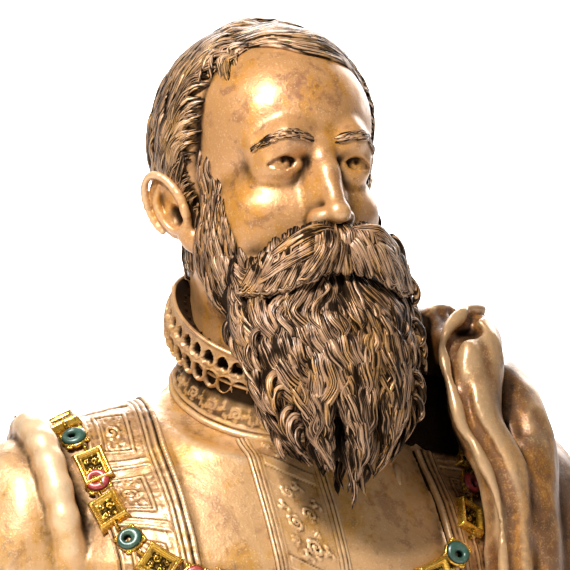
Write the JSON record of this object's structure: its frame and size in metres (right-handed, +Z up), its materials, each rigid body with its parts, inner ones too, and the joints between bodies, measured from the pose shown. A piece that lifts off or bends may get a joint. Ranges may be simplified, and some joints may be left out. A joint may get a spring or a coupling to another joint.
{
  "type": "bust",
  "caption": "Life-size portrait bust of a bearded sitter in a ruff, embroidered doublet, mantle and livery collar, cut flat below to stand on a shelf or pedestal.",
  "frame": {"origin": "middle of the flat underside's bounding box, on the surface it stands on", "axes": "+Z up through the crown, -Y the way the chest faces, +X the sitter's left"},
  "size_m": [0.5084, 0.285, 0.5595],
  "materials": {
    "gilt_plaster": "bronzed and gilt plaster, worn and glossy"
  },
  "bodies": {
    "root": {"bust": "gilt_plaster"}
  },
  "joints": []
}
